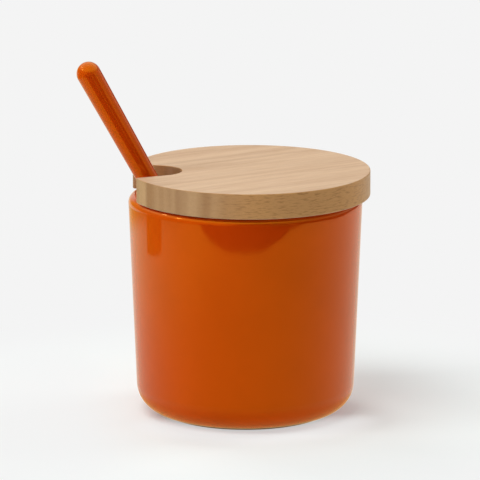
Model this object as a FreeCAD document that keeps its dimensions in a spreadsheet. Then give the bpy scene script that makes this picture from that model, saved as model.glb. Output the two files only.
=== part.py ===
"""Glazed ceramic condiment jar with a notched beech lid and its own spoon.

Units are millimetres and degrees. The origin is the centre of the foot, +Z is
up, and the lid's notch opens towards -X. The spoon stands in the jar, its bowl
on the floor and its handle leaning against the rim inside the notch.
"""
import FreeCAD, Part
import os
from math import cos, radians, sin, tan
from types import SimpleNamespace
import Sketcher

SIZES = {
    # Jar: a slightly tapered, round-bottomed pot
    "jar_height": 83.1,
    "jar_radius_top": 44.0,
    "jar_radius_base": 40.6,
    "jar_wall": 6.6,
    "jar_floor": 6.4,
    "base_rounding": 10.9,
    "cavity_rounding": 8.0,
    "rim_round_outer": 2.8,
    "rim_round_inner": 1.2,
    # Bare foot ring that the glaze stops short of
    "foot_overlap": 1.7,
    "foot_height": 0.5,
    "foot_width": 4.8,
    "foot_recess_depth": 1.3,
    "foot_rounding": 0.3,
    # Lid: a turned disc with a step that drops into the mouth
    "lid_overhang": 1.2,
    "lid_thickness": 9.6,
    "lid_shift": 1.63,
    "lid_top_rounding": 0.35,
    "lid_bottom_rounding": 0.6,
    "step_depth": 4.0,
    "step_clearance": 1.9,
    "step_rounding": 0.8,
    # Notch in the lid for the spoon
    "notch_depth": 19.75,
    "notch_radius": 9.35,
    "notch_flare": 19.0,
    "notch_corner_rounding": 0.6,
    "notch_overrun": 4.0,
    "step_notch_setback": 1.3,
    # Spoon: a round handle that thickens to its domed end, and an oval bowl
    "handle_end_radius": 4.55,
    "shank_radius": 3.85,
    "shank_top": 66.0,
    "handle_reach": 120.3,
    "handle_drop": 1.4,
    "bowl_half_length": 20.5,
    "bowl_half_width": 13.5,
    "bowl_depth": 9.0,
    "bowl_wall": 2.4,
    "bowl_rim_rounding": 0.7,
    "neck_top": 38.0,
    "neck_middle": 26.5,
    "neck_middle_drop": 1.9,
    "neck_middle_half_width": 4.6,
    "neck_middle_half_depth": 3.3,
    "neck_bottom": 15.0,
    "neck_bottom_drop": 3.1,
    "neck_bottom_half_width": 7.2,
    "neck_bottom_half_depth": 2.2,
    "spoon_lean": 28.45,
    "spoon_clearance": 0.3,
}

PLANE_OF = {"XY": "XY_Plane", "XZ": "XZ_Plane"}

# Sizes that several sketches share, as expressions on the sheet
FOOT_RADIUS = "(Sizes.jar_radius_base - Sizes.base_rounding + Sizes.foot_overlap)"
LID_RADIUS = "(Sizes.jar_radius_top + Sizes.lid_overhang)"
NOTCH_CENTRE = f"({LID_RADIUS} - Sizes.notch_depth + Sizes.notch_radius)"


def make_sheet(doc):
    """Spreadsheet that holds every driving dimension."""
    sheet = doc.addObject("Spreadsheet::Sheet", "Sizes")
    for row, (name, value) in enumerate(SIZES.items(), start=1):
        sheet.set(f"A{row}", name)
        sheet.set(f"B{row}", str(value))
        sheet.setAlias(f"B{row}", name)
    doc.recompute()
    return sheet


def new_body(doc, label):
    """Empty PartDesign body whose label is its node's name."""
    body = doc.addObject("PartDesign::Body", label.capitalize())
    body.Label = label
    return body


def new_sketch(body, name, plane):
    """Sketch on one of the body's own origin planes."""
    role = PLANE_OF[plane]
    support = next(f for f in body.Origin.OriginFeatures if f.Role == role)
    sketch = body.newObject("Sketcher::SketchObject", name)
    sketch.AttachmentSupport = (support, [""])
    sketch.MapMode = "FlatFace"
    return sketch


def drive(sketch, constraint, name, expression):
    """Add a named dimension to the sketch and bind it to the sheet."""
    index = sketch.addConstraint(constraint)
    sketch.renameConstraint(index, name)
    sketch.setExpression(f"Constraints.{name}", expression)


def draw_profile(sketch, corners):
    """Closed polygon of (x, y, x expression, y expression) corners.

    A corner with no x expression lies on the sketch's vertical axis, and one
    with no y expression lies on its horizontal axis.
    """
    count = len(corners)
    for index in range(count):
        start = FreeCAD.Vector(*corners[index][:2], 0)
        end = FreeCAD.Vector(*corners[(index + 1) % count][:2], 0)
        sketch.addGeometry(Part.LineSegment(start, end))
    for index in range(count):
        following = (index + 1) % count
        sketch.addConstraint(Sketcher.Constraint("Coincident", index, 2, following, 1))
    for index, (x, y, x_expression, y_expression) in enumerate(corners):
        if x_expression:
            across = Sketcher.Constraint("DistanceX", -1, 1, index, 1, x)
            drive(sketch, across, f"across_{index}", x_expression)
        else:
            sketch.addConstraint(Sketcher.Constraint("PointOnObject", index, 1, -2))
        if y_expression:
            upward = Sketcher.Constraint("DistanceY", -1, 1, index, 1, y)
            drive(sketch, upward, f"upward_{index}", y_expression)
        else:
            sketch.addConstraint(Sketcher.Constraint("PointOnObject", index, 1, -1))


def draw_circle(sketch, radius, expression):
    """Circle about the sketch's origin."""
    centre = FreeCAD.Vector(0, 0, 0)
    normal = FreeCAD.Vector(0, 0, 1)
    circle = sketch.addGeometry(Part.Circle(centre, normal, radius))
    sketch.addConstraint(Sketcher.Constraint("Coincident", circle, 3, -1, 1))
    drive(sketch, Sketcher.Constraint("Radius", circle, radius), "radius", expression)


def notch_centre(size):
    """Distance from the lid's axis to the centre of the notch's round end."""
    return size.jar_radius_top + size.lid_overhang - size.notch_depth + size.notch_radius


def turn(body, kind, name, sketch):
    """Revolution or Groove of a sketch about its vertical axis."""
    feature = body.newObject(f"PartDesign::{kind}", name)
    feature.Profile = sketch
    feature.ReferenceAxis = (sketch, ["V_Axis"])
    feature.Angle = 360
    body.Document.recompute()
    return feature


def fillet(body, name, test, expression):
    """Fillet the edges of the body's tip that pass the test."""
    base = body.Tip
    edges = [f"Edge{n}" for n, edge in enumerate(base.Shape.Edges, start=1) if test(edge)]
    feature = body.newObject("PartDesign::Fillet", name)
    feature.Base = (base, edges)
    feature.setExpression("Radius", expression)
    body.Document.recompute()
    return feature


def flat_at(edge, height):
    """Whether an edge lies in the horizontal plane at a height."""
    box = edge.BoundBox
    return abs(box.ZMin - height) < 1e-4 and abs(box.ZMax - height) < 1e-4


def ring_at(edge, radius, height):
    """Whether an edge is a circle about Z with this radius and height."""
    return (
        isinstance(edge.Curve, Part.Circle)
        and abs(edge.Curve.Radius - radius) < 1e-3
        and flat_at(edge, height)
    )


def make_jar(doc, size):
    """Pot: turned outside and inside, standing on a bare foot ring."""
    body = new_body(doc, "jar")
    height, foot, floor = size.jar_height, size.foot_height, size.jar_floor
    wall = size.jar_wall

    outside = new_sketch(body, "OutsideProfile", "XZ")
    draw_profile(outside, [
        (0, foot, None, "Sizes.foot_height"),
        (size.jar_radius_base, foot, "Sizes.jar_radius_base", "Sizes.foot_height"),
        (size.jar_radius_top, height, "Sizes.jar_radius_top", "Sizes.jar_height"),
        (0, height, None, "Sizes.jar_height"),
    ])
    turn(body, "Revolution", "Outside", outside)
    fillet(
        body, "BaseRounding",
        lambda edge: ring_at(edge, size.jar_radius_base, foot),
        "Sizes.base_rounding",
    )

    foot_circle = new_sketch(body, "FootCircle", "XY")
    foot_radius = size.jar_radius_base - size.base_rounding + size.foot_overlap
    draw_circle(foot_circle, foot_radius, FOOT_RADIUS)
    foot_disc = body.newObject("PartDesign::Pad", "FootDisc")
    foot_disc.Profile = foot_circle
    foot_disc.setExpression("Length", "Sizes.foot_height + Sizes.jar_floor / 2")
    doc.recompute()

    inner_base = "Sizes.jar_radius_base - Sizes.jar_wall"
    inner_top = "Sizes.jar_radius_top - Sizes.jar_wall"
    cavity = new_sketch(body, "CavityProfile", "XZ")
    draw_profile(cavity, [
        (0, floor, None, "Sizes.jar_floor"),
        (size.jar_radius_base - wall, floor, inner_base, "Sizes.jar_floor"),
        (size.jar_radius_top - wall, height, inner_top, "Sizes.jar_height"),
        (0, height, None, "Sizes.jar_height"),
    ])
    turn(body, "Groove", "Cavity", cavity)
    fillet(
        body, "CavityRounding",
        lambda edge: ring_at(edge, size.jar_radius_base - wall, floor),
        "Sizes.cavity_rounding",
    )
    fillet(
        body, "RimOuterRounding",
        lambda edge: ring_at(edge, size.jar_radius_top, height),
        "Sizes.rim_round_outer",
    )
    fillet(
        body, "RimInnerRounding",
        lambda edge: ring_at(edge, size.jar_radius_top - wall, height),
        "Sizes.rim_round_inner",
    )

    recess = new_sketch(body, "FootRecessProfile", "XZ")
    depth = size.foot_recess_depth
    recess_radius = foot_radius - size.foot_width
    recess_edge = f"{FOOT_RADIUS} - Sizes.foot_width"
    recess_top = f"{recess_edge} - Sizes.foot_recess_depth"
    draw_profile(recess, [
        (0, 0, None, None),
        (recess_radius, 0, recess_edge, None),
        (recess_radius - depth, depth, recess_top, "Sizes.foot_recess_depth"),
        (0, depth, None, "Sizes.foot_recess_depth"),
    ])
    turn(body, "Groove", "FootRecess", recess)
    fillet(
        body, "FootRounding",
        lambda edge: isinstance(edge.Curve, Part.Circle) and flat_at(edge, 0),
        "Sizes.foot_rounding",
    )
    return body


def draw_notch(sketch, size):
    """U-shaped notch that flares towards -X and runs out past the lid's edge."""
    radius = size.notch_radius
    centre = -notch_centre(size)
    mouth = -(size.jar_radius_top + size.lid_overhang + size.notch_overrun)
    flare = radians(size.notch_flare)
    join_x = centre + radius * sin(flare)
    join_y = radius * cos(flare)
    mouth_y = join_y + (join_x - mouth) * tan(flare)

    middle = FreeCAD.Vector(centre, 0, 0)
    circle = Part.Circle(middle, FreeCAD.Vector(0, 0, 1), radius)
    half_turn = radians(90) - flare
    arc = sketch.addGeometry(Part.ArcOfCircle(circle, -half_turn, half_turn))
    near = sketch.addGeometry(Part.LineSegment(
        FreeCAD.Vector(mouth, -mouth_y, 0), FreeCAD.Vector(join_x, -join_y, 0)))
    far = sketch.addGeometry(Part.LineSegment(
        FreeCAD.Vector(mouth, mouth_y, 0), FreeCAD.Vector(join_x, join_y, 0)))
    closing = sketch.addGeometry(Part.LineSegment(
        FreeCAD.Vector(mouth, mouth_y, 0), FreeCAD.Vector(mouth, -mouth_y, 0)))
    sketch.addConstraint([
        Sketcher.Constraint("PointOnObject", arc, 3, -1),
        Sketcher.Constraint("Tangent", near, 2, arc, 1),
        Sketcher.Constraint("Tangent", far, 2, arc, 2),
        Sketcher.Constraint("Coincident", far, 1, closing, 1),
        Sketcher.Constraint("Coincident", near, 1, closing, 2),
        Sketcher.Constraint("Vertical", closing),
    ])
    dimensions = [
        ("radius", Sketcher.Constraint("Radius", arc, radius), "Sizes.notch_radius"),
        ("centre", Sketcher.Constraint("DistanceX", arc, 3, -1, 1, -centre), NOTCH_CENTRE),
        ("mouth", Sketcher.Constraint("DistanceX", near, 1, -1, 1, -mouth),
         f"{LID_RADIUS} + Sizes.notch_overrun"),
        ("flare_near", Sketcher.Constraint("Angle", near, flare), "Sizes.notch_flare"),
        ("flare_far", Sketcher.Constraint("Angle", far, -flare), "-Sizes.notch_flare"),
    ]
    for name, constraint, expression in dimensions:
        drive(sketch, constraint, name, expression)


def make_lid(doc, size):
    """Wooden disc with the spoon's notch, and a step below it for the mouth."""
    body = new_body(doc, "lid")
    lid_radius = size.jar_radius_top + size.lid_overhang
    circle = new_sketch(body, "DiscCircle", "XY")
    draw_circle(circle, lid_radius, LID_RADIUS)
    disc = body.newObject("PartDesign::Pad", "Disc")
    disc.Profile = circle
    disc.setExpression("Length", "Sizes.lid_thickness")
    doc.recompute()

    notch_profile = new_sketch(body, "NotchProfile", "XY")
    draw_notch(notch_profile, size)
    notch = body.newObject("PartDesign::Pocket", "Notch")
    notch.Profile = notch_profile
    notch.Type = "ThroughAll"
    notch.Reversed = True
    doc.recompute()

    def is_notch_corner(edge):
        box = edge.BoundBox
        upright = abs(box.ZLength - size.lid_thickness) < 1e-4
        rim_distance = (box.Center.x ** 2 + box.Center.y ** 2) ** 0.5
        off_axis = abs(box.Center.y) > size.notch_radius / 2
        return upright and off_axis and abs(rim_distance - lid_radius) < 1e-3

    fillet(body, "NotchCorners", is_notch_corner, "Sizes.notch_corner_rounding")
    fillet(
        body, "TopRounding",
        lambda edge: flat_at(edge, size.lid_thickness),
        "Sizes.lid_top_rounding",
    )
    fillet(body, "BottomRounding", lambda edge: flat_at(edge, 0), "Sizes.lid_bottom_rounding")

    step_circle = new_sketch(body, "StepCircle", "XY")
    step_radius = size.jar_radius_top - size.jar_wall - size.step_clearance
    draw_circle(
        step_circle, step_radius,
        "Sizes.jar_radius_top - Sizes.jar_wall - Sizes.step_clearance",
    )
    step = body.newObject("PartDesign::Pad", "Step")
    step.Profile = step_circle
    step.Reversed = True
    step.setExpression("Length", "Sizes.step_depth")
    doc.recompute()

    step_notch_profile = new_sketch(body, "StepNotchProfile", "XY")
    step_notch_profile.setExpression("AttachmentOffset.Base.x", f"-{NOTCH_CENTRE}")
    draw_circle(
        step_notch_profile, size.notch_radius + size.step_notch_setback,
        "Sizes.notch_radius + Sizes.step_notch_setback",
    )
    step_notch = body.newObject("PartDesign::Pocket", "StepNotch")
    step_notch.Profile = step_notch_profile
    step_notch.setExpression("Length", "Sizes.step_depth")
    doc.recompute()
    fillet(
        body, "StepRounding",
        lambda edge: flat_at(edge, -size.step_depth),
        "Sizes.step_rounding",
    )

    body.setExpression("Placement.Base.x", "Sizes.lid_shift")
    body.setExpression("Placement.Base.z", "Sizes.jar_height")
    return body


def add_primitive(doc, kind, name, values):
    """Part primitive whose properties are bound to expressions."""
    primitive = doc.addObject(f"Part::{kind}", name)
    for prop, expression in values.items():
        primitive.setExpression(prop, expression)
    return primitive


def turn_bowl(doc, name, size, inset, inset_expression):
    """Pointed oval turned about an axis in front of the bowl's rim plane.

    Its lengthwise and crosswise arcs are those that pass through the bowl's
    half length and half width in the rim plane and reach the bowl's depth.
    """
    depth = size.bowl_depth
    long_radius = (size.bowl_half_length ** 2 + depth ** 2) / (2 * depth)
    cross_radius = (size.bowl_half_width ** 2 + depth ** 2) / (2 * depth)
    long_expression = "(Sizes.bowl_half_length^2 + Sizes.bowl_depth^2) / (2 * Sizes.bowl_depth)"
    cross_expression = "(Sizes.bowl_half_width^2 + Sizes.bowl_depth^2) / (2 * Sizes.bowl_depth)"

    # The profile lies on the far side of the axis, so that the turned surface
    # has its seam in front of the rim plane.
    arc_radius = long_radius - inset
    axis = cross_radius - depth
    centre = 2 * axis - (long_radius - depth)
    reach = (arc_radius ** 2 - (centre - axis) ** 2) ** 0.5

    sketch = doc.addObject("Sketcher::SketchObject", name + "Profile")
    sketch.Placement.Rotation = FreeCAD.Rotation(FreeCAD.Vector(1, 0, 0), 90)
    low = FreeCAD.Vector(axis, -reach, 0)
    high = FreeCAD.Vector(axis, reach, 0)
    front = FreeCAD.Vector(centre + arc_radius, 0, 0)
    arc = sketch.addGeometry(Part.Arc(high, front, low))
    chord = sketch.addGeometry(Part.LineSegment(low, high))
    arc_ends = (1, 2) if sketch.getPoint(arc, 1).y > 0 else (2, 1)
    sketch.addConstraint([
        Sketcher.Constraint("Coincident", arc, arc_ends[1], chord, 1),
        Sketcher.Constraint("Coincident", arc, arc_ends[0], chord, 2),
        Sketcher.Constraint("PointOnObject", arc, 3, -1),
        Sketcher.Constraint("Vertical", chord),
    ])
    drive(
        sketch, Sketcher.Constraint("Radius", arc, arc_radius), "radius",
        long_expression + inset_expression,
    )
    drive(
        sketch, Sketcher.Constraint("DistanceX", arc, 3, chord, 1, axis - centre), "centre",
        f"{long_expression} - {cross_expression}",
    )
    drive(
        sketch, Sketcher.Constraint("DistanceX", -1, 1, chord, 1, axis), "axis",
        f"{cross_expression} - Sizes.bowl_depth",
    )

    turning = doc.addObject("Part::Revolution", name)
    turning.Source = sketch
    turning.Axis = FreeCAD.Vector(0, 0, 1)
    turning.setExpression("Base.x", f"{cross_expression} - Sizes.bowl_depth")
    turning.Angle = 360
    turning.Solid = True
    return turning


def make_spoon(doc, size):
    """Spoon whose handle runs along local Z, with its bowl hollow towards +X.

    The local origin is the centre of the bowl, in the plane of its rim.
    """
    drop = "-Sizes.handle_drop"
    shank = add_primitive(doc, "Cylinder", "Shank", {
        "Radius": "Sizes.shank_radius",
        "Height": "Sizes.shank_top - Sizes.neck_top",
        "Placement.Base.x": drop,
        "Placement.Base.z": "Sizes.neck_top",
    })
    grip = add_primitive(doc, "Cone", "Grip", {
        "Radius1": "Sizes.shank_radius",
        "Radius2": "Sizes.handle_end_radius",
        "Height": "Sizes.handle_reach - Sizes.shank_top",
        "Placement.Base.x": drop,
        "Placement.Base.z": "Sizes.shank_top",
    })
    dome = add_primitive(doc, "Sphere", "Dome", {
        "Radius": "Sizes.handle_end_radius",
        "Placement.Base.x": drop,
        "Placement.Base.z": "Sizes.handle_reach",
    })
    dome.Angle1 = 0

    across_z = FreeCAD.Rotation(FreeCAD.Vector(0, 0, 1), 90)
    rings = []
    for level in ("neck_top", "neck_middle", "neck_bottom"):
        round_end = level == "neck_top"
        ring = add_primitive(doc, "Ellipse", level.title().replace("_", ""), {
            "MajorRadius": "Sizes.shank_radius" if round_end else f"Sizes.{level}_half_width",
            "MinorRadius": "Sizes.shank_radius" if round_end else f"Sizes.{level}_half_depth",
            "Placement.Base.x": drop if round_end else f"-Sizes.{level}_drop",
            "Placement.Base.z": f"Sizes.{level}",
        })
        ring.Placement.Rotation = across_z
        rings.append(ring)
    neck = doc.addObject("Part::Loft", "Neck")
    neck.Sections = rings
    neck.Solid = True

    bowl_outside = doc.addObject("Part::Common", "BowlOutside")
    bowl_outside.Base = turn_bowl(doc, "BowlOuterTurning", size, 0, "")
    bowl_outside.Tool = add_primitive(doc, "Box", "BehindRim", {
        "Length": "2 * Sizes.bowl_depth",
        "Width": "4 * Sizes.bowl_half_width",
        "Height": "4 * Sizes.bowl_half_length",
        "Placement.Base.x": "-2 * Sizes.bowl_depth",
        "Placement.Base.y": "-2 * Sizes.bowl_half_width",
        "Placement.Base.z": "-2 * Sizes.bowl_half_length",
    })
    bowl_inside = turn_bowl(doc, "BowlInnerTurning", size, size.bowl_wall, " - Sizes.bowl_wall")

    bowl_shell = doc.addObject("Part::Cut", "BowlShell")
    bowl_shell.Base = bowl_outside
    bowl_shell.Tool = bowl_inside
    doc.recompute()

    def in_rim_plane(edge):
        box = edge.BoundBox
        return abs(box.XMin) < 1e-4 and abs(box.XMax) < 1e-4

    bowl = doc.addObject("Part::Fillet", "Bowl")
    bowl.Base = bowl_shell
    bowl.Edges = [
        (n, size.bowl_rim_rounding, size.bowl_rim_rounding)
        for n, edge in enumerate(bowl_shell.Shape.Edges, start=1)
        if in_rim_plane(edge)
    ]

    # The handle and its neck are scooped out flush with the bowl's hollow.
    solid_handle = doc.addObject("Part::MultiFuse", "SolidHandle")
    solid_handle.Shapes = [shank, grip, dome, neck]
    handle = doc.addObject("Part::Cut", "Handle")
    handle.Base = solid_handle
    handle.Tool = bowl_inside
    spoon = doc.addObject("Part::Fuse", "Spoon")
    spoon.Base = bowl
    spoon.Tool = handle
    spoon.Refine = True
    spoon.Label = "spoon"

    # The bowl's tip rests on the floor, and the shank rests against the rounded
    # inner edge of the rim.
    lean = "Sizes.spoon_lean"
    centre_height = (
        "(Sizes.jar_floor + Sizes.spoon_clearance"
        f" + Sizes.bowl_half_length * cos({lean}))"
    )
    centre_across = (
        "(Sizes.jar_wall - Sizes.jar_radius_top - Sizes.rim_round_inner"
        f" + (Sizes.jar_height - Sizes.rim_round_inner - {centre_height}) * tan({lean})"
        " + (Sizes.rim_round_inner + Sizes.spoon_clearance + Sizes.shank_radius"
        f" + Sizes.handle_drop) / cos({lean}))"
    )
    spoon.setExpression(
        "Placement",
        f"placement(vector({centre_across}; 0; {centre_height}); rotation(0; -{lean}; 0))",
    )
    doc.recompute()
    return spoon


def check_document(doc, nodes):
    """Stop if any object failed or any node's shape is missing or broken."""
    for item in doc.Objects:
        if "Invalid" in item.State or "Error" in item.State:
            raise RuntimeError(f"{item.Name} failed to compute: {item.State}")
    for node in nodes:
        shape = node.Shape
        if shape.isNull() or not shape.isValid() or len(shape.Solids) != 1:
            raise RuntimeError(f"{node.Label} is not one valid solid")


def write_steps(nodes):
    """One STEP file for each node, named by its label."""
    os.makedirs("parts", exist_ok=True)
    for node in nodes:
        node.Shape.exportStep(f"parts/{node.Label}.step")


def main():
    doc = FreeCAD.newDocument("CondimentJar")
    sheet = make_sheet(doc)
    size = SimpleNamespace(**{name: sheet.get(name) for name in SIZES})
    nodes = [make_jar(doc, size), make_lid(doc, size), make_spoon(doc, size)]
    doc.recompute()
    check_document(doc, nodes)
    write_steps(nodes)
    for node in nodes:
        print(node.Label, round(node.Shape.Volume), "mm3", node.Shape.BoundBox)


main()
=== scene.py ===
"""Looks of the condiment jar: orange glazed stoneware, and a lid of oiled beech."""

from math import cos, pi, radians, sin

import bpy
from mathutils import Matrix, Vector

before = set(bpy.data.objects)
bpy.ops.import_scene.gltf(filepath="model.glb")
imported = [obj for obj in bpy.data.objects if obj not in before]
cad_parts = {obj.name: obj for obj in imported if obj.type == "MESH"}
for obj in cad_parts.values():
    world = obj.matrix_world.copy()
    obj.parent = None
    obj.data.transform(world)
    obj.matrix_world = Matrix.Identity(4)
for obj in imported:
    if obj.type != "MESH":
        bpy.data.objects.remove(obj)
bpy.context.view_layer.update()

# Camera: its direction, and what it looks at, before both turn by the azimuth
VIEW_AZIMUTH = -4.1
VIEW_ELEVATION = 12.642
VIEW_DISTANCE = 1.8988
VIEW_AIM = Vector((-0.00203, 0.0, 0.06549))
VIEW_TURN = Matrix.Rotation(radians(VIEW_AZIMUTH), 4, "Z")
LENS = 379.1
SENSOR = 36.0

# Paper floor and backdrop, as the camera sees them
FLOOR_RADIUS = 6.0
FLOOR_STEPS = 96
FLOOR_COLOUR = (0.845, 0.90, 0.88)
BACKGROUND = (0.905, 0.905, 0.905)
WORLD_FILL = 0.3
FLOOR_GLOW = 0.2
FLOOR_GLOW_REACH = (0.062, 0.16)
# Painted light on the floor round the front of the foot and on the left, hiding the contact
# shadow and the orange bounce there
CONTACT_GLOW = 0.6
CONTACT_REACH = (0.043, 0.064)
CONTACT_FRONT = (0.0, -0.025)
LEFT_GLOW = 0.75
LEFT_GLOW_SIDE = (-0.02, -0.07)

# Painted reflections: tones that only the gloss sees
PAPER_LEFT_REFLECTION = (1.08, 1.06, 0.66)
PAPER_RIGHT_REFLECTION = (0.92, 0.81, 0.66)
FOOT_PAINTED_REFLECTION = (0.88, 0.52, 0.20)
ROOM_LEFT_REFLECTION = (0.95, 0.62, 0.07)
ROOM_RIGHT_REFLECTION = (0.12, 0.06, 0.02)
CEILING_REFLECTION = (1.8, 1.8, 1.0)
GAP_REFLECTION_COLOUR = (0.75, 0.45, 0.03)
DARK_FRONT_REFLECTION = (0.02, 0.018, 0.016)

# Where the gloss sees one tone turn into the next on the floor, in metres
TURN_TO_RIGHT = (-0.24, -0.08)
FOOT_REACH = (0.0415, 0.057)
ROOM_REACH = (0.295, 0.345)
ROOM_SIDE = (-0.05, -0.15)
ROOM_BACK = (0.42, 0.24)

# Where it does so in the world, as parts of a unit direction
BACKDROP_TOP = (0.20, 0.40)
OPEN_FRONT = (0.35, 0.1)
OPEN_FRONT_SIDE = (0.65, 0.15)
RIGHT_LOW = (0.19, 0.13)
RIGHT_SIDE = (0.2, 0.5)
LEFT_SIDE = (-0.15, -0.45)
CEILING_START = (0.25, 0.65)

# Mirrored floor pieces, painted reflections that only the gloss sees: half of the paper's
# front edge, and its round right edge
MIRRORED_HEIGHT = 0.0005
FRONT_HALF = [(0.03, -0.2605), (0.13, -0.2440), (0.20, -0.2250)]
SIDE_EDGE = 0.322
SIDE_ANGLES = (60, 73, 86, 99)
DARK_CORNERS = [(2.0, 1.4), (2.4, -2.4), (-1.9, -1.8)]
GAP_ANGLES = (86.2, 109.0)
GAP_NEAR = 0.264
GAP_FAR = 3.0

# Lamps
LAMP_TARGET = Vector((0, 0, 0.06))
LAMP_DISTANCE = 1.3
SPARK_SIDE = 0.12
SPARK_LEVEL = 0.03

# Jar and lid
GLAZE_IOR = 2.0
GLAZE_LINE = (0.0008, 0.0010)
WOOD_IOR = 1.45
GRAIN_ANGLE = 28.0


def colour(red, green, blue):
    """Linear colour of an sRGB one given from 0 to 255."""
    def linear(value):
        value = value / 255
        return value / 12.92 if value <= 0.04045 else ((value + 0.055) / 1.055) ** 2.4
    return (linear(red), linear(green), linear(blue), 1.0)


class Graph:
    """Node tree, with short ways to add and join nodes."""

    def __init__(self, tree):
        self.tree = tree
        self.tree.nodes.clear()

    def add(self, kind, inputs=(), **settings):
        """Add a node, set its properties, then fill or join its inputs."""
        node = self.tree.nodes.new("ShaderNode" + kind)
        for name, value in settings.items():
            setattr(node, name, value)
        for name, value in dict(inputs).items():
            self.put(node.inputs[name], value)
        return node

    def put(self, socket, value):
        """Give a socket a constant, or join another node's output to it."""
        if isinstance(value, bpy.types.NodeSocket):
            self.tree.links.new(value, socket)
        else:
            socket.default_value = value

    def object_place(self):
        """Object coordinates, whole and as X, Y and Z outputs."""
        place = self.add("TexCoord").outputs["Object"]
        return place, self.add("SeparateXYZ", {0: place}).outputs

    def math(self, operation, *values):
        node = self.add("Math", operation=operation)
        for socket, value in zip(node.inputs, values):
            self.put(socket, value)
        return node.outputs[0]

    def blend(self, factor, low, high, kind="MIX"):
        """Colour from low to high as the factor goes from 0 to 1."""
        node = self.add("Mix", data_type="RGBA", blend_type=kind)
        self.put(node.inputs["Factor"], factor)
        self.put(node.inputs[6], low)
        self.put(node.inputs[7], high)
        return node.outputs[2]

    def span(self, value, start, end, to_start=0.0, to_end=1.0):
        """Map a value's range smoothly to another, held at both ends."""
        node = self.add("MapRange", {
            "Value": value, "From Min": start, "From Max": end,
            "To Min": to_start, "To Max": to_end,
        }, interpolation_type="SMOOTHSTEP")
        return node.outputs[0]

    def noise(self, vector, scale, detail=2.0, roughness=0.5):
        node = self.add("TexNoise", {
            "Vector": vector, "Scale": scale, "Detail": detail, "Roughness": roughness})
        return node.outputs["Fac"]

    def stretched(self, vector, *factors):
        """Coordinates scaled by their own factor along each axis."""
        node = self.add("VectorMath", {0: vector, 1: factors}, operation="MULTIPLY")
        return node.outputs[0]

    def shade(self, factor, low, high):
        """Shader from low to high as the factor goes from 0 to 1."""
        return self.add("MixShader", {
            0: factor, 1: low.outputs[0], 2: high.outputs[0]})

    def finish(self, kind, shader):
        """Join a shader to the tree's output."""
        self.add(kind, {"Surface": shader.outputs[0]})


def new_material(name):
    """Empty material, and the graph of its nodes."""
    material = bpy.data.materials.new(name)
    material.use_nodes = True
    return material, Graph(material.node_tree)


def opaque(tone):
    """Colour with an alpha of 1."""
    return (*tone, 1)


def glaze():
    """Glossy orange glaze that stops short of the bare foot."""
    material, graph = new_material("orange_glaze")
    place, axes = graph.object_place()

    clouds = graph.noise(place, 28.0, detail=3.0, roughness=0.55)
    tone = graph.blend(
        graph.span(clouds, 0.3, 0.7), (0.470, 0.037, 0.0008, 1), (0.512, 0.043, 0.0012, 1))
    ripple = graph.noise(place, 55.0, detail=1.0)
    skin = graph.noise(place, 700.0, detail=2.0)
    relief = graph.math("ADD", ripple, graph.math("MULTIPLY", skin, 0.02))
    bump = graph.add("Bump", {"Height": relief, "Strength": 0.12, "Distance": 0.0004})
    glazed = graph.add("BsdfPrincipled", {
        "Base Color": tone,
        "Roughness": graph.span(clouds, 0.2, 0.8, 0.035, 0.06),
        "Specular Tint": (1.0, 0.41, 0.02, 1),
        "IOR": GLAZE_IOR,
        "Normal": bump.outputs[0],
    })

    grit = graph.noise(place, 2400.0, detail=3.0)
    clay = graph.blend(grit, colour(196, 176, 148), colour(226, 210, 186))
    grain = graph.add("Bump", {"Height": grit, "Strength": 0.4, "Distance": 0.0002})
    bare = graph.add("BsdfPrincipled", {
        "Base Color": clay, "Roughness": 0.85, "Normal": grain.outputs[0]})

    # The glaze ends on a line that wanders by a fraction of a millimetre
    wander = graph.math("SUBTRACT", graph.noise(place, 90.0), 0.5)
    line = graph.math("ADD", axes["Z"], graph.math("MULTIPLY", wander, 0.0006))
    graph.finish("OutputMaterial", graph.shade(graph.span(line, *GLAZE_LINE), bare, glazed))
    return material


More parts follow.
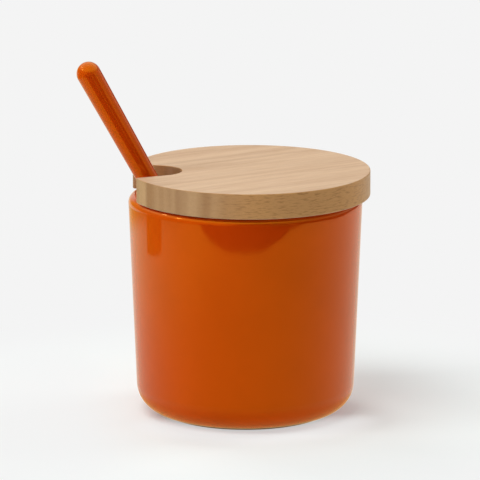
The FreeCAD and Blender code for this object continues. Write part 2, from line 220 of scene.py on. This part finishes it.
def beech():
    """Oiled beech: upright growth layers along the grain, with fibres, pores and rays."""
    material, graph = new_material("oiled_beech")
    coords = graph.add("TexCoord").outputs
    turned = graph.add("VectorRotate", {
        "Vector": coords["Object"], "Angle": radians(-GRAIN_ANGLE)},
        rotation_type="Z_AXIS").outputs[0]
    across = graph.add("SeparateXYZ", {0: turned}).outputs["Y"]
    upright = graph.add("SeparateXYZ", {0: coords["Normal"]}).outputs["Z"]
    flat = graph.span(graph.math("ABSOLUTE", upright), 0.6, 0.9)
    grain = (cos(radians(GRAIN_ANGLE)), sin(radians(GRAIN_ANGLE)), 0.0)
    facing = graph.add(
        "VectorMath", {0: coords["Normal"], 1: grain}, operation="DOT_PRODUCT")
    end = graph.math("ABSOLUTE", facing.outputs["Value"])

    # Growth layers, whose planes wander a little along the grain
    drift = graph.noise(graph.stretched(turned, 9.0, 12.0, 10.0), 1.0, detail=1.0)
    drift = graph.math("MULTIPLY", graph.math("SUBTRACT", drift, 0.5), 0.010)
    bent = graph.math("ADD", across, drift)
    layer = graph.add("TexNoise", noise_dimensions="1D")
    graph.put(layer.inputs["W"], graph.math("MULTIPLY", bent, 150.0))
    graph.put(layer.inputs["Scale"], 1.0)
    graph.put(layer.inputs["Detail"], 1.5)
    graph.put(layer.inputs["Roughness"], 0.45)
    layers = graph.span(layer.outputs["Fac"], 0.3, 0.7)
    streaks = graph.noise(graph.stretched(turned, 13.0, 230.0, 40.0), 1.0)
    streaks = graph.span(streaks, 0.3, 0.7)

    # Fibres and pores run along the grain, and rays are thin ribbons across it
    fibres = graph.noise(
        graph.stretched(turned, 90.0, 1100.0, 1100.0), 1.0, detail=3.0, roughness=0.6)
    fibres = graph.span(fibres, 0.3, 0.7)
    pores = graph.noise(graph.stretched(turned, 300.0, 3000.0, 3000.0), 1.0, detail=1.0)
    rays = graph.noise(graph.stretched(turned, 380.0, 120.0, 2200.0), 1.0, detail=1.0)
    rays = graph.span(rays, 0.50, 0.72)

    # Each side of the board shows its own mix of these
    top = graph.blend(streaks, colour(180, 143, 119), colour(203, 171, 146))
    top = graph.blend(graph.math("MULTIPLY", layers, 0.5), top, colour(200, 165, 139))
    plain = graph.blend(rays, colour(192, 141, 85), colour(167, 118, 67))
    ends = graph.blend(layers, colour(150, 112, 78), colour(179, 143, 105))
    edge = graph.blend(graph.span(end, 0.45, 0.95), plain, ends)
    tone = graph.blend(flat, edge, top)
    worn = graph.blend(1.0, tone, (0.95, 0.94, 0.93, 1), "MULTIPLY")
    tone = graph.blend(fibres, worn, tone)
    pitted = graph.blend(1.0, tone, (0.72, 0.64, 0.55, 1), "MULTIPLY")
    tone = graph.blend(
        graph.math("MULTIPLY", graph.span(pores, 0.56, 0.75), 0.25), tone, pitted)

    relief = graph.math("ADD", fibres, graph.math("MULTIPLY", pores, -0.5))
    bump = graph.add("Bump", {"Height": relief, "Strength": 0.25, "Distance": 0.0001})
    graph.finish("OutputMaterial", graph.add("BsdfPrincipled", {
        "Base Color": tone,
        "Roughness": graph.span(fibres, 0.0, 1.0, 0.45, 0.36),
        "IOR": WOOD_IOR,
        "Normal": bump.outputs[0],
    }))
    return material


def dress(node, material):
    """Give a CAD node's object its material in every slot."""
    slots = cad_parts[node].data.materials
    slots.clear()
    slots.append(material)


def stage_piece(name, corners, material):
    """Flat stage piece through these corners."""
    mesh = bpy.data.meshes.new(name)
    mesh.from_pydata(corners, [], [range(len(corners))])
    piece = bpy.data.objects.new(name, mesh)
    bpy.context.scene.collection.objects.link(piece)
    mesh.materials.append(material)
    return piece


def paper():
    """Pale paper that melts into the backdrop away from the jar.

    Gloss sees painted reflections in its place: paler on the left, and warm close to
    the foot and past the paper's left edge. The warm tone at the foot stands in for the
    shaded floor there. The camera sees painted light round the front of the foot and on
    the left, which hides the contact shadow.
    """
    material, graph = new_material("paper")
    path = graph.add("LightPath").outputs
    place, axes = graph.object_place()
    reach = graph.add("VectorMath", {0: place}, operation="LENGTH").outputs["Value"]

    gloss = graph.blend(
        graph.span(axes["X"], *TURN_TO_RIGHT), opaque(PAPER_LEFT_REFLECTION), opaque(PAPER_RIGHT_REFLECTION))
    past_edge = graph.math(
        "MULTIPLY", graph.span(axes["X"], *ROOM_SIDE), graph.span(axes["Y"], *ROOM_BACK))
    past_edge = graph.math("MULTIPLY", graph.span(reach, *ROOM_REACH), past_edge)
    gloss = graph.blend(past_edge, gloss, opaque(ROOM_LEFT_REFLECTION))
    gloss = graph.blend(graph.span(reach, *FOOT_REACH), opaque(FOOT_PAINTED_REFLECTION), gloss)
    glow = graph.add("Emission", {
        "Color": graph.blend(path["Is Glossy Ray"], opaque(BACKGROUND), gloss)})

    # Painted light: the backdrop's tone comes in round the foot, on the left, and far away;
    # round the front of the foot and on the left it paints out the contact shadow and the
    # jar's orange bounce
    near = graph.math(
        "MULTIPLY", graph.span(reach, *CONTACT_REACH, CONTACT_GLOW, 0.0),
        graph.span(axes["Y"], *CONTACT_FRONT))
    far = graph.span(reach, *FLOOR_GLOW_REACH, FLOOR_GLOW, 1.0)
    left = graph.span(axes["X"], *LEFT_GLOW_SIDE, 0.0, LEFT_GLOW)
    seen = graph.math("MAXIMUM", left, graph.math("MAXIMUM", near, far))
    seen = graph.math("MULTIPLY", seen, path["Is Camera Ray"])
    lit = graph.add("BsdfDiffuse", {"Color": opaque(FLOOR_COLOUR)})
    share = graph.math("ADD", seen, path["Is Glossy Ray"])
    graph.finish("OutputMaterial", graph.shade(share, lit, glow))
    return material


def make_floor():
    """Round paper floor, wide enough to reach past every view."""
    turns = [2 * pi * step / FLOOR_STEPS for step in range(FLOOR_STEPS)]
    corners = [(FLOOR_RADIUS * cos(turn), FLOOR_RADIUS * sin(turn), 0.0) for turn in turns]
    stage_piece("floor", corners, paper())


def make_mirrored(name, tone, corners):
    """Flat sheet that only shows in the glaze, as a painted reflection."""
    material, graph = new_material(name)
    graph.finish("OutputMaterial", graph.add("BsdfPrincipled", {
        "Base Color": opaque(tone), "Roughness": 0.9, "Specular IOR Level": 0.0}))
    corners = [VIEW_TURN @ Vector((x, y, MIRRORED_HEIGHT)) for x, y in corners]
    piece = stage_piece(name, corners, material)
    piece.visible_camera = False
    piece.visible_diffuse = False
    piece.visible_shadow = False
    piece.visible_transmission = False


def make_dark_front():
    """Painted reflection: a dark sheet past the paper's front and right edges, which darkens
    the jar's front below the lid.
    """
    front = [(-x, y) for x, y in reversed(FRONT_HALF)] + FRONT_HALF
    turns = [radians(angle) for angle in SIDE_ANGLES]
    right = [(SIDE_EDGE * sin(turn), -SIDE_EDGE * cos(turn)) for turn in turns]
    make_mirrored("dark_front_reflection", DARK_FRONT_REFLECTION, front + right + DARK_CORNERS)


def make_side_gap():
    """Painted reflection: a dim warm sheet between the left soft box and the backdrop, which
    leaves a deeper orange band on the jar's left.
    """
    start, end = (radians(angle) for angle in GAP_ANGLES)
    ring = [(GAP_NEAR, start), (GAP_NEAR, end), (GAP_FAR, end), (GAP_FAR, start)]
    corners = [(-reach * sin(turn), -reach * cos(turn)) for reach, turn in ring]
    make_mirrored("side_gap_reflection", GAP_REFLECTION_COLOUR, corners)


def make_world():
    """Even fill for the object, and the backdrop that the camera and the gloss see.

    Gloss sees painted reflections: the backdrop up to its top edge, in a room that is dim
    on the right, golden on the left and brighter than white overhead. They paint the glaze's
    golden rim and highlights and a sheen on the lid's top, and light nothing diffusely.
    """
    world = bpy.data.worlds.new("studio")
    bpy.context.scene.world = world
    world.use_nodes = True
    graph = Graph(world.node_tree)
    path = graph.add("LightPath").outputs
    toward = graph.add("SeparateXYZ", {0: graph.add("TexCoord").outputs["Generated"]}).outputs

    gloss = graph.blend(
        graph.span(toward["Z"], *BACKDROP_TOP), opaque(PAPER_RIGHT_REFLECTION), opaque(ROOM_RIGHT_REFLECTION))
    front = graph.math(
        "MULTIPLY", graph.span(toward["Y"], *OPEN_FRONT),
        graph.span(toward["X"], *OPEN_FRONT_SIDE))
    gloss = graph.blend(front, gloss, opaque(ROOM_RIGHT_REFLECTION))
    right = graph.math(
        "MULTIPLY", graph.span(toward["Z"], *RIGHT_LOW), graph.span(toward["X"], *RIGHT_SIDE))
    gloss = graph.blend(right, gloss, opaque(ROOM_RIGHT_REFLECTION))
    gloss = graph.blend(graph.span(toward["X"], *LEFT_SIDE), gloss, opaque(ROOM_LEFT_REFLECTION))
    # Painted highlight: a band overhead brighter than white, seen only in reflections, which
    # lights the spoon's cap and sheens the lid's top
    gloss = graph.blend(graph.span(toward["Z"], *CEILING_START), gloss, opaque(CEILING_REFLECTION))

    seen = graph.add("Background", {
        "Color": graph.blend(path["Is Glossy Ray"], opaque(BACKGROUND), gloss)})
    fill = graph.add("Background", {"Color": (1, 1, 1, 1), "Strength": WORLD_FILL})
    direct = graph.math("MAXIMUM", path["Is Camera Ray"], path["Is Transmission Ray"])
    direct = graph.math("MAXIMUM", direct, path["Is Glossy Ray"])
    graph.finish("OutputWorld", graph.shade(direct, fill, seen))


def make_lamp(name, azimuth, elevation, width, height, level, gloss=False):
    """Soft box aimed at the jar.

    Azimuth is from the front towards the camera's left, and level is the share
    of full light that it gives a surface which faces it.
    """
    lamp = bpy.data.lights.new(name, "AREA")
    lamp.shape = "RECTANGLE"
    lamp.size = width
    lamp.size_y = height
    lamp.energy = level * (pi * LAMP_DISTANCE) ** 2
    piece = bpy.data.objects.new(name, lamp)
    bpy.context.scene.collection.objects.link(piece)
    turn, rise = radians(azimuth), radians(elevation)
    direction = Vector((-sin(turn) * cos(rise), -cos(turn) * cos(rise), sin(rise)))
    direction = VIEW_TURN @ direction
    piece.location = LAMP_TARGET + direction * LAMP_DISTANCE
    piece.rotation_mode = "QUATERNION"
    piece.rotation_quaternion = direction.to_track_quat("Z", "Y")
    piece.visible_glossy = gloss


def make_spark(name, azimuth, elevation):
    """Small lamp that leaves a highlight in the glaze."""
    make_lamp(name, azimuth, elevation, SPARK_SIDE, SPARK_SIDE, SPARK_LEVEL, gloss=True)


def make_camera():
    camera = bpy.data.objects.new("camera", bpy.data.cameras.new("camera"))
    bpy.context.scene.collection.objects.link(camera)
    rise = radians(VIEW_ELEVATION)
    back = Vector((0, -cos(rise), sin(rise)))
    camera.location = VIEW_TURN @ (VIEW_AIM + back * VIEW_DISTANCE)
    camera.rotation_euler = (pi / 2 - rise, 0, radians(VIEW_AZIMUTH))
    camera.data.lens = LENS
    camera.data.sensor_width = SENSOR
    bpy.context.scene.camera = camera


make_camera()
make_world()
make_floor()
make_dark_front()
make_side_gap()
make_lamp("key", 72, 34, 0.5, 0.6, level=0.33)
make_lamp("top", 30, 60, 0.6, 0.6, level=0.38)
make_lamp("back_right", -115, 25, 0.6, 0.6, level=0.367)
make_lamp("back_left", 150, 30, 0.6, 0.6, level=0.267)
make_spark("spark_front", 76, 35)
make_spark("spark_side", 105, 42)
make_spark("spark_top", 155, 81)

stoneware = glaze()
dress("jar", stoneware)
dress("spoon", stoneware)
dress("lid", beech())

bpy.context.scene.view_settings.view_transform = "Standard"
